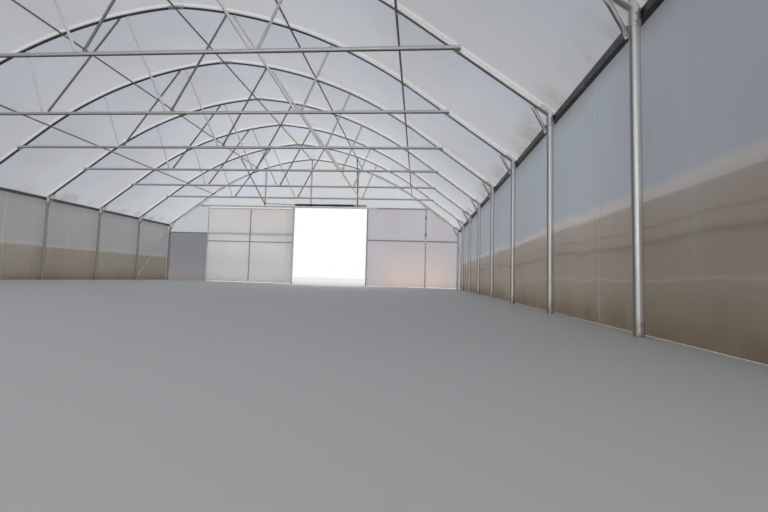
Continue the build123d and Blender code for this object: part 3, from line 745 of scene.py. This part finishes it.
for name, (tie_x, head_x, right, left) in WEB_BARS.items():
    bars = Pile()
    for y in INNER_Y:
        bar_to_arch(bars, Vector((tie_x, y - TIE_SIDE, TIE_Z)), y, head_x, Z_AXIS, TIE_R, 0.055, 0.03)
    both_sides(bars, name, right, left)

braces = Pile()
for y in FRAME_Y:
    foot = Vector((HALF_WIDTH, y, KNEE - BRACE_DROP))
    bar_to_arch(braces, foot, y, HALF_WIDTH - BRACE_REACH, -X_AXIS, POST_R, 0.045, 0.022)
both_sides(braces, "knee_braces", THIN)

# Purlins and their clips
CLIP_THICK = 0.0022
CLIP_WIDTH = 0.024
CLIP_HALF = 0.040
CLIP_SCREW = 0.030
CLIP_SINK = 0.0016
CLIP_TURNS = 8
RING_STEP = 0.6  # from a frame to the nearest rings that divide a purlin

purlin_half = END_Y + SLEEVE_R - SQUARE - CLEAR
purlin_stations = [-purlin_half, *[y + d for y in INNER_Y for d in (-RING_STEP, RING_STEP)], purlin_half]


def purlin_piece(x, z):
    pile = Pile()
    pile.tube([(x, y, z) for y in purlin_stations], PURLIN_R, 16, Z_AXIS)
    return pile


def clip(pile, x, y, z, across, up):
    """Strap round a purlin, its two feet screwed to the underside of the arch."""
    normal = Vector((across, 0, up))
    along = Vector((up, 0, -across))
    centre = Vector((x, y, z))
    r = PURLIN_R + CLIP_THICK
    top = normal * (PURLIN_R - CLIP_SINK)
    path = [centre - along * CLIP_HALF + top, centre - along * r * 1.1 + top]
    for k in range(CLIP_TURNS + 1):
        a = pi * k / CLIP_TURNS
        path.append(centre - along * r * cos(a) - normal * r * sin(a))
    path += [centre + along * r * 1.1 + top, centre + along * CLIP_HALF + top]
    pile.strip(path, CLIP_WIDTH, CLIP_THICK)
    foot = centre + normal * (PURLIN_R - CLIP_SINK - 0.0012)
    for way in (-along, along):
        pile.bolt(foot + way * CLIP_SCREW, -normal, 0.0055, 0.005)


clips = Pile()
for name, x in zip(("upper_purlin", "lower_purlin"), PURLIN_X):
    spot = arch_point(x, 0, -(POST_R + PURLIN_R + CLEAR))
    both_sides(purlin_piece(spot.x, spot.z), name, PURLIN)
    for y in FRAME_Y:
        clip(clips, spot.x, y, spot.z, *arch_normal(x))
both_sides(clips, "purlin_clips", FITTING, nodes=False, slot="zinc_fitting")

under_ridge = SLEEVE_R / cos(RIDGE_ANGLE) + PURLIN_R * tan(pi / 8) * tan(RIDGE_ANGLE)
ridge_z = RIDGE - under_ridge - CLEAR - PURLIN_R
purlin_piece(0, ridge_z).build("ridge_purlin_tube", PURLIN, ("ridge_purlin",))
ridge_clips = Pile()
for y in FRAME_Y:
    clip(ridge_clips, 0, y, ridge_z, 0.0, 1.0)
ridge_clips.build("ridge_clips", FITTING, slot="zinc_fitting")

# Corner braces: straight round tubes in the end bays
CORNER_LOW = 0.090
CORNER_HIGH = 1.715

corner = Pile()
corner_slope = (CORNER_HIGH - CORNER_LOW) / BAY
corner_gap = POST_R + CLEAR
for side in (-1, 1):
    top = Vector((HALF_WIDTH, side * (END_Y - corner_gap), CORNER_HIGH - corner_slope * corner_gap))
    foot = Vector((HALF_WIDTH, side * (END_Y - BAY + corner_gap), CORNER_LOW + corner_slope * corner_gap))
    corner.tube([foot, foot.lerp(top, 0.5), top], WEB_R, 16, X_AXIS)
both_sides(corner, "corner_braces", THIN)

# Struts from the last inner frame down to the studs over the far header
STRUT_FOOT_X = 1.55
STRUT_PLACE = 0.02  # past the frame's plane
STRUT_DROP = 0.018  # below the purlin
STRUT_LIFT = 0.085  # above the ties' height
STRUT_GAP = 0.006  # before the studs

struts = Pile()
strut_x = PURLIN_X[0]
strut_top = arch_height(strut_x) - POST_R - 2 * PURLIN_R - STRUT_DROP
strut_head = Vector((strut_x, INNER_Y[-1] + STRUT_PLACE, strut_top))
strut_foot = Vector((STRUT_FOOT_X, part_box("far_gable_studs")[0][1] - STRUT_GAP, TIE_Z + STRUT_LIFT))
web_bar(struts, strut_head, strut_foot, 0.05, 0.03, X_AXIS, 0.004)
both_sides(struts, "far_strut", PURLIN, nodes=False)

# Square bars, track and trolleys: the frame's own shapes with soft edges
for name, material in {
    "eave_rail_left": RAIL, "eave_rail_right": RAIL, "far_header": BAR, "near_header": BAR,
    "far_gable_studs": STUD, "near_gable_studs": STUD, "door_jambs": BAR, "far_side_stud": STUD,
    "far_mid_rails": BAR, "near_studs": BAR, "near_mid_rails": BAR, "door_track": TRACK,
    "door_leaf_frame": DOOR_BAR, "door_trolleys": FITTING,
}.items():
    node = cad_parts[name]
    node.data.materials.clear()
    node.data.materials.append(material)
    bevel = node.modifiers.new("soft_edges", "BEVEL")
    bevel.width = 0.0025 if name != "door_trolleys" else 0.0008
    bevel.segments = 2
    bevel.limit_method = "ANGLE"
    bevel.angle_limit = radians(40)

# Roof film, from the lip outside one eave rail to the lip outside the other
RAIL_OUT = HALF_WIDTH + SLEEVE_R + CLEAR + SQUARE
RAIL_TOP = KNEE - (RAIL_OUT - HALF_WIDTH) * tan(PITCH) + FILM_INNER / cos(PITCH) - CLEAR
LIP_X = RAIL_OUT + CLEAR * 2 + FILM_THICK * 1.5
LIP_TURN = 0.015  # the lip hangs straight from this far below its height on the rail
ROOF_STATIONS = (4.86, 4.84, 4.80, 4.74, 4.66, 4.55, 4.42, 4.28, 4.14, 4.0, 3.86, 3.72, 3.6)
ROOF_STEPS = 22
END_HOLD = 0.018  # past each end frame's plane the film is held flat
ROOF_SAG = 0.016


def roof_profile():
    """Points across the roof from the right lip to the left one: (x, z, normal, slack)."""
    right = [(LIP_X, RAIL_TOP - drop, (1, 0), 0.0) for drop in (SQUARE, LIP_TURN)]
    across = (sin(PITCH), cos(PITCH))
    for x in (LIP_X, *ROOF_STATIONS):
        right.append((x, arch_height(x, FILM_OFFSET), across, smooth((4.70 - x) / 0.7)))
    r = ARC_R + FILM_OFFSET
    for k in range(ROOF_STEPS):
        a = PITCH + (RIDGE_ANGLE - PITCH) * k / ROOF_STEPS
        right.append((CENTRE_X + r * sin(a), CENTRE_Z + r * cos(a), (sin(a), cos(a)), 1.0))
    peak = (0.0, CENTRE_Z + sqrt(r**2 - CENTRE_X**2), (0, 1), 1.0)
    left = [(-x, z, (-n[0], n[1]), s) for x, z, n, s in right]
    return [*right, peak, *left[::-1]]


def bay_stations(per_bay=14, crowding=0.045):
    """Places along the tunnel, closer together at each frame."""
    places = [-FILM_HALF, -END_Y - END_HOLD]
    for i in range(BAYS):
        for k in range(per_bay):
            t = k / per_bay
            places.append(-END_Y + BAY * (i + t - crowding * sin(2 * pi * t)))
    return sorted(places + [END_Y, END_Y + END_HOLD, FILM_HALF])


def bay_slack(y):
    """0 at each frame, 1 in the middle of each bay."""
    return sin(pi * ((y + END_Y) / BAY % 1.0)) ** 1.3 if abs(y) <= END_Y else 0.0


def roof_point(y, station):
    x, z, n, slack = station
    ripple = wave(x * 1.28, y * 4.16, seed=3) * 0.006
    ripple += wave(x * 3.25 + y * 0.91, y * 1.3, seed=8) * 0.005
    inward = bay_slack(y) * slack * (ROOF_SAG + ripple)
    return (x - n[0] * inward, y, z - n[1] * inward)


roof = grid_sheet("roof_film_sheet", bay_stations(), roof_profile(), roof_point, ROOF_FILM,
                  replaces=("roof_film",), slot="clear_film")

# Side wall films: an inner film and a skirt outside it
SKIRT_TOP = 0.78
FILM_TUCK = 0.0035  # the inner film ends this far below the rail's top
WALL_FOLDS = (  # height, share of the drift, half width, depth of a fold
    (0.515, 1.0, 0.022, -0.010),
    (0.60, 0.7, 0.012, 0.006),
    (0.31, 0.3, 0.010, 0.007),
)


def side_film(side, layer):
    """A side wall's film as a sheet; layer 0 is the inner film and 1 the skirt."""
    hand = "right" if side > 0 else "left"
    base_x = RAIL_OUT + CLEAR + FILM_THICK / 2 + layer * (FILM_THICK + CLEAR)
    top, n_z, flat = (SKIRT_TOP, 24, 0.765) if layer else (RAIL_TOP - FILM_TUCK, 52, 1.866)
    seed = 21 + side * 5

    def point(s, t):
        y = FILM_HALF * (2 * s - 1)
        ends = smooth((FILM_HALF - abs(y)) / 0.25)
        ragged = (wave(0.0, y * 0.9, seed=seed + 3) * 0.02 * ends - 0.02) * layer
        z = (top + ragged) * t
        free = smooth((1.74 - z) / 0.25) * smooth(z / 0.10) * ends
        drift = wave(0.0, y * 0.35, seed=seed) * 0.05
        push = 0.006 * wave(y * 1.3, z * 0.9, seed=seed + 1)
        push += 0.004 * wave(y * 4.0, z * 0.7, seed=seed + 2)
        push -= 0.010 * (0.35 + 0.65 * bay_slack(y))
        for height, share, width, depth in WALL_FOLDS:
            push += depth * exp(-(((z - height - drift * share) / width) ** 2))
        x = base_x + free * (min(push, 0.004) * (0.7 if layer else 1.0) + layer * 0.003)
        return (side * max(x, HALF_WIDTH + SLEEVE_R + 0.004), y, z)

    name = ("skirt_film_" if layer else "side_film_") + hand
    inner = RIGHT_WALL_FILM if side > 0 else LEFT_WALL_FILM
    sheet = grid_sheet(name + "_sheet", shares(216), shares(n_z), point,
                       SKIRT_FILM if layer else inner, replaces=(name,),
                       slot="skirt_film" if layer else "wall_film")


for side in (1, -1):
    for layer in (0, 1):
        side_film(side, layer)

# End wall films
WALL_FILM_Y = END_Y + SLEEVE_R + CLEAR + FILM_THICK / 2
HEADER_BOTTOM = TIE_Z - SQUARE / 2
EDGE_CLEAR = 0.0005
END_EDGE = 0.15  # over this far from its edges a film comes to rest on the bars
LOOSE_HEM = 0.5  # below this height a loose film stands off further
LOOSE_FOLDS = (  # x, z, half length and height of each wrinkle beside the doorway
    (2.36, 0.36, 0.62, 0.9), (2.55, 0.30, 0.40, 0.7), (2.78, 0.62, 0.50, 1.0), (2.30, 0.70, 0.30, 0.5),
)


def diagonal_folds(x, z):
    """Short wrinkles that rise to the right in the loose film beside the doorway."""
    push = 0.0
    for x0, z0, reach, height in LOOSE_FOLDS:
        run = ((x - x0) + (z - z0)) / sqrt(2)
        off = ((x - x0) - (z - z0)) / sqrt(2)
        push += 0.014 * height * exp(-((run / reach) ** 2) - (off / 0.022) ** 2)
    return push


def end_sheet(node, x_range, z_low, z_high, end, material, slot, loose=0.0, columns=None,
              seed=0):
    """Part of an end wall's film. It follows the arch where that is lower than z_high."""
    x0, x1 = x_range

    def point(s, t):
        x = x0 + (x1 - x0) * s
        top = min(z_high, arch_height(min(abs(x), RAIL_OUT - EDGE_CLEAR), END_FILM_OFFSET))
        low = z_low + loose * (0.5 + 0.5 * wave(x * 2.1, seed=seed))
        z = low + (top - low) * t
        inside = between(x, x0, x1, END_EDGE) * smooth((top - z) / END_EDGE)
        push = 0.006 + 0.006 * wave(x * 1.7, z * 1.2, seed=seed + 1)
        push += 0.004 * wave(x * 5 + z * 2, z * 1.1, seed=seed + 2)
        if loose:
            hang = smooth((LOOSE_HEM - z) / LOOSE_HEM)
            push += hang * 0.025 * (0.6 + wave(x * 6.0, z, seed=seed + 4)) + diagonal_folds(x, z)
        else:
            inside *= smooth((z - z_low) / END_EDGE)
        return (x, end * (WALL_FILM_Y + max(0.0, push) * inside), z)

    us = shares(columns or max(8, int((x1 - x0) / 0.03)))
    sheet = grid_sheet(node + "_sheet", us, shares(64), point, material, replaces=(node,), slot=slot)


gable_x = arch_x(HEADER_BOTTOM, END_FILM_OFFSET)
end_sheet("far_gable_film", (-gable_x, gable_x), HEADER_BOTTOM, PAST_EDGE, 1, GABLE_FILM, "clear_film",
          seed=31, columns=110)
end_sheet("far_left_film", (-RAIL_OUT, DOORWAY_LEFT), 0.0, HEADER_BOTTOM - CLEAR, 1, SHADE_FILM,
          "wall_film", seed=41)
end_sheet("far_right_film", (DOORWAY_RIGHT, RAIL_OUT), 0.003, HEADER_BOTTOM - CLEAR, 1, GLOW_FILM,
          "wall_film", loose=0.03, seed=51)
end_sheet("near_end_film", (-RAIL_OUT, RAIL_OUT), 0.0, PAST_EDGE, -1, END_FILM, "clear_film",
          seed=61, columns=150)

# Door leaf's film, flat on the leaf's bars and a little loose between them
LEAF_FILM_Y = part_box("door_leaf_film")[0][1] + FILM_THICK / 2
LEAF_BAR_X = -1.999
LEAF_BAR_Z = 1.34
LEAF_EDGE = 0.2


def leaf_point(s, t):
    x = LEAF_LEFT + (LEAF_RIGHT - LEAF_LEFT) * s
    top = LEAF_TOP - 0.006 * (1 + wave(x * 5.0, seed=73))
    z = LEAF_LOW + (top - LEAF_LOW) * t
    inside = between(x, LEAF_LEFT, LEAF_RIGHT, LEAF_EDGE) * between(z, LEAF_LOW, top, LEAF_EDGE)
    off_bars = smooth(abs(x - LEAF_BAR_X) / 0.15) * smooth(abs(z - LEAF_BAR_Z) / 0.12)
    push = 0.0015 * (1 + wave(x * 2.2 + z, z * 1.7, seed=71)) * inside * off_bars
    return (x, LEAF_FILM_Y + push, z)


leaf_film = grid_sheet("door_leaf_film_sheet", shares(90), shares(60), leaf_point, DOOR_FILM,
                       body="door_leaf", replaces=("door_leaf_film",), slot="door_film")

# Rolled net
ROLL_R = 0.045
ROLL_TURNS = 6
ROLL_SIDES = 26
ROLL_CORE = 0.008
ROLL_END = 0.020  # the roll stops this far inside the doorway's sides

roll_y, roll_z = [(low + high) / 2 for low, high in zip(*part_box("rolled_net"))][1:]


def roll_point(s, turned):
    x = DOORWAY_LEFT + ROLL_END + (DOORWAY_RIGHT - DOORWAY_LEFT - 2 * ROLL_END) * s
    droop = 0.003 * wave(x * 2.0, seed=83)
    slim = 0.84 + 0.12 * wave(x * 1.7, seed=85) + 0.04 * wave(x * 9.0, seed=86)
    up, out = cos(2 * pi * turned), sin(2 * pi * turned)
    r = ROLL_CORE + (ROLL_R - 0.004 - ROLL_CORE) * turned / ROLL_TURNS
    r *= slim * (1 + 0.06 * wave(x * 3, up * 1.2, out * 1.2, seed=81))
    r += 0.0012 * wave(x * 16, up * 3, out * 3, seed=82)
    r = min(r, ROLL_R - 0.001)
    ragged = 0.016 * wave(turned * 3.0, seed=84) if s in (0, 1) else 0.0
    return (x + ragged, roll_y + out * r, roll_z + droop * r / ROLL_R + up * r)


roll_turns = [k / ROLL_SIDES for k in range(ROLL_TURNS * ROLL_SIDES + 1)]
rolled_net = grid_sheet("rolled_net_cloth", shares(120), roll_turns, roll_point, NET,
                        replaces=("rolled_net",), slot="dark_net")

# Pipe that the net is rolled on, showing left of the roll
PIPE_R = 0.011
PIPE_END_X = -1.53
PIPE_RISE = 0.030

pipe = Pile()
pipe.tube([(PIPE_END_X, roll_y, roll_z + PIPE_RISE), (DOORWAY_LEFT - 0.10, roll_y, roll_z + 0.004),
           (DOORWAY_LEFT + 0.05, roll_y, roll_z)], PIPE_R, 12)
pipe.build("net_roll_pipe", PURLIN)

# Loose film edges at the doorway end
FLAP_STEP = 0.009
FLUTE_LENGTH = 0.065  # from one flute of a gathered edge to the next
HEM_TOP = 2.540
HEM_LOW = 2.478
SCALLOP_LENGTH = 0.24


def film_flap(name, x_from, x_to, width, seed):
    """Film's loose edge gathered along the far arch, hanging a little below it."""
    run = hypot(x_to - x_from, arch_height(x_to) - arch_height(x_from))
    start = POST_R + 0.003

    def point(s, u):
        hang = width * (0.30 + between(s, 0, 1, 0.06) * (0.55 + 0.5 * wave(s * 7.0, seed=seed)))
        turns = run * s / FLUTE_LENGTH + 1.1 * wave(s * 14.0, 1.0, seed=seed + 1)
        off = start - (start + hang) * u
        round_tube = sqrt(max(0.0, start**2 - off**2))
        flute = 0.5 + 0.5 * sin(2 * pi * turns + 1.5 * u)
        out = max(round_tube, 0.012) + 0.014 * flute * u + 0.004 * wave(s * 60, u * 4, seed=seed + 2)
        return arch_point(x_from + (x_to - x_from) * s, END_Y - out, off)

    return grid_sheet(name, shares(int(run / FLAP_STEP)), shares(14), point, BUNCH_FILM, slot="clear_film")


for side, part, x_from, x_to, width, seed, flat in (
    ("left", "low", -4.50, -3.42, 0.13, 91, (0.135, 1.62)),
    ("left", "high", -3.26, -2.10, 0.075, 92, (0.095, 1.58)),
    ("right", "low", 4.50, 3.42, 0.085, 93, (0.102, 1.62)),
    ("right", "high", 3.26, 2.10, 0.075, 94, (0.095, 1.58)),
):
    flap = film_flap(f"film_flap_{side}_{part}", x_from, x_to, width, seed)

hem_left = LEAF_LEFT - 0.02
hem_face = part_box("door_track")[0][1] - 0.0012


def hem_point(s, u):
    x = hem_left + (LEAF_RIGHT - hem_left) * s
    scallop = 0.5 + 0.5 * cos(2 * pi * x / SCALLOP_LENGTH + 1.5 * wave(x * 1.2, seed=95))
    low = HEM_LOW + 0.022 * scallop + 0.008 * wave(x * 7.0, seed=96)
    z = HEM_TOP + (low - HEM_TOP) * u
    flute = 0.6 + 0.4 * sin(2 * pi * x / 0.06 + 2 * wave(x * 3, z, seed=97))
    return (x, hem_face - 0.0004 - 0.006 * u * flute, z)


hem = grid_sheet("scalloped_film_hem", shares(180), shares(8), hem_point, BUNCH_FILM, slot="clear_film")

# Clamps on the side stud of the doorway end
KNOB_HALF = 0.050
KNOB_FLAT = 0.030
KNOB_DEPTH = 0.004
KNOB_THICK = 0.003

stud_low, stud_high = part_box("far_side_stud")
stud_x = (stud_low[0] + stud_high[0]) / 2
knob_y = stud_low[1] - CLEAR
for name, knob_z, width, material in (
    ("side_stud_clamp", 1.480, 0.034, FITTING),
    ("side_stud_clamp_middle", 1.690, 0.056, MOSSY),
    ("side_stud_clamp_upper", 2.240, 0.056, MOSSY),
):
    knob = Pile()
    outline = ((0, -KNOB_HALF), (KNOB_DEPTH, -KNOB_FLAT), (KNOB_DEPTH, KNOB_FLAT), (0, KNOB_HALF))
    path = [(stud_x, knob_y - depth, knob_z + rise) for depth, rise in outline]
    knob.strip(path, width, KNOB_THICK, X_AXIS)
    for step in (-0.018, 0.018):
        knob.bolt((stud_x, knob_y - 0.005, knob_z + step), -Y_AXIS, 0.009, 0.012, washer=0.012)
    knob.build(name, material, slot="zinc_fitting")

# Floor
HALF_FLOOR = 90.0
FLOOR_Z = -0.002

floor_mesh = bpy.data.meshes.new("studio_floor")
corners = ((-1, -1), (1, -1), (1, 1), (-1, 1))
floor_mesh.from_pydata([(x * HALF_FLOOR, y * HALF_FLOOR, FLOOR_Z) for x, y in corners], [], [(0, 1, 2, 3)])
ground = Tree(bpy.data.materials.new("studio_floor"))
shade = ground.mix(ground.noise(0.6, detail=2), (0.53, 0.53, 0.53), (0.56, 0.56, 0.56))
floor_mesh.materials.append(ground.finish(ground.principled(shade, 0.9, specular=0.1)))
floor = new_object("studio_floor", floor_mesh)

# Light: a soft sky that shows white behind the films, and two broad suns
world = bpy.data.worlds.new("studio")
SCENE.world = world
sky = Tree(world, "OutputWorld")
rays = sky.node("LightPath").outputs
seen_through = sky.math("MAXIMUM", rays["Is Glossy Ray"], rays["Is Transmission Ray"])
seen = sky.math("MAXIMUM", rays["Is Camera Ray"], seen_through)
soft_light = sky.node("Background", {"Color": (0.95, 0.975, 1.0), "Strength": 0.8}).outputs[0]
backdrop = sky.node("Background", {"Color": (1, 1, 1), "Strength": 1.0}).outputs[0]
sky.finish(sky.blend(seen, soft_light, backdrop))

SUN_SPREAD = radians(60)
for name, energy, tilt, turned in (("soft_key", 2.6, 75, 12), ("soft_back", 2.0, -44, 8)):
    sun_data = bpy.data.lights.new(name, "SUN")
    sun_data.energy = energy
    sun_data.angle = SUN_SPREAD
    new_object(name, sun_data).rotation_euler = (radians(tilt), 0, radians(turned))

# Camera, fitted to the photo: angles in radians, lens in millimetres, shifts in shares of the width
YAW, TILT, ROLL = -0.11302, 0.08634, 0.03085
CAMERA_PLACE = (3.595, -8.112, 0.275)
CAMERA = {
    "sensor_width": 36, "lens": 24.964, "shift_x": 0.0315, "shift_y": -0.0322,
    "clip_start": 0.02, "clip_end": 400,
}

turn = Matrix.Identity(3)
for angle, axis in ((-YAW, "Z"), (pi / 2 + TILT, "X"), (ROLL, "Z")):
    turn = turn @ Matrix.Rotation(angle, 3, axis)
cam_data = bpy.data.cameras.new("photo_camera")
for key, value in CAMERA.items():
    setattr(cam_data, key, value)
cam = new_object("photo_camera", cam_data)
cam.rotation_mode = "QUATERNION"
cam.rotation_quaternion = turn.to_quaternion()
cam.location = CAMERA_PLACE
SCENE.camera = cam

SCENE.view_settings.view_transform = "Standard"
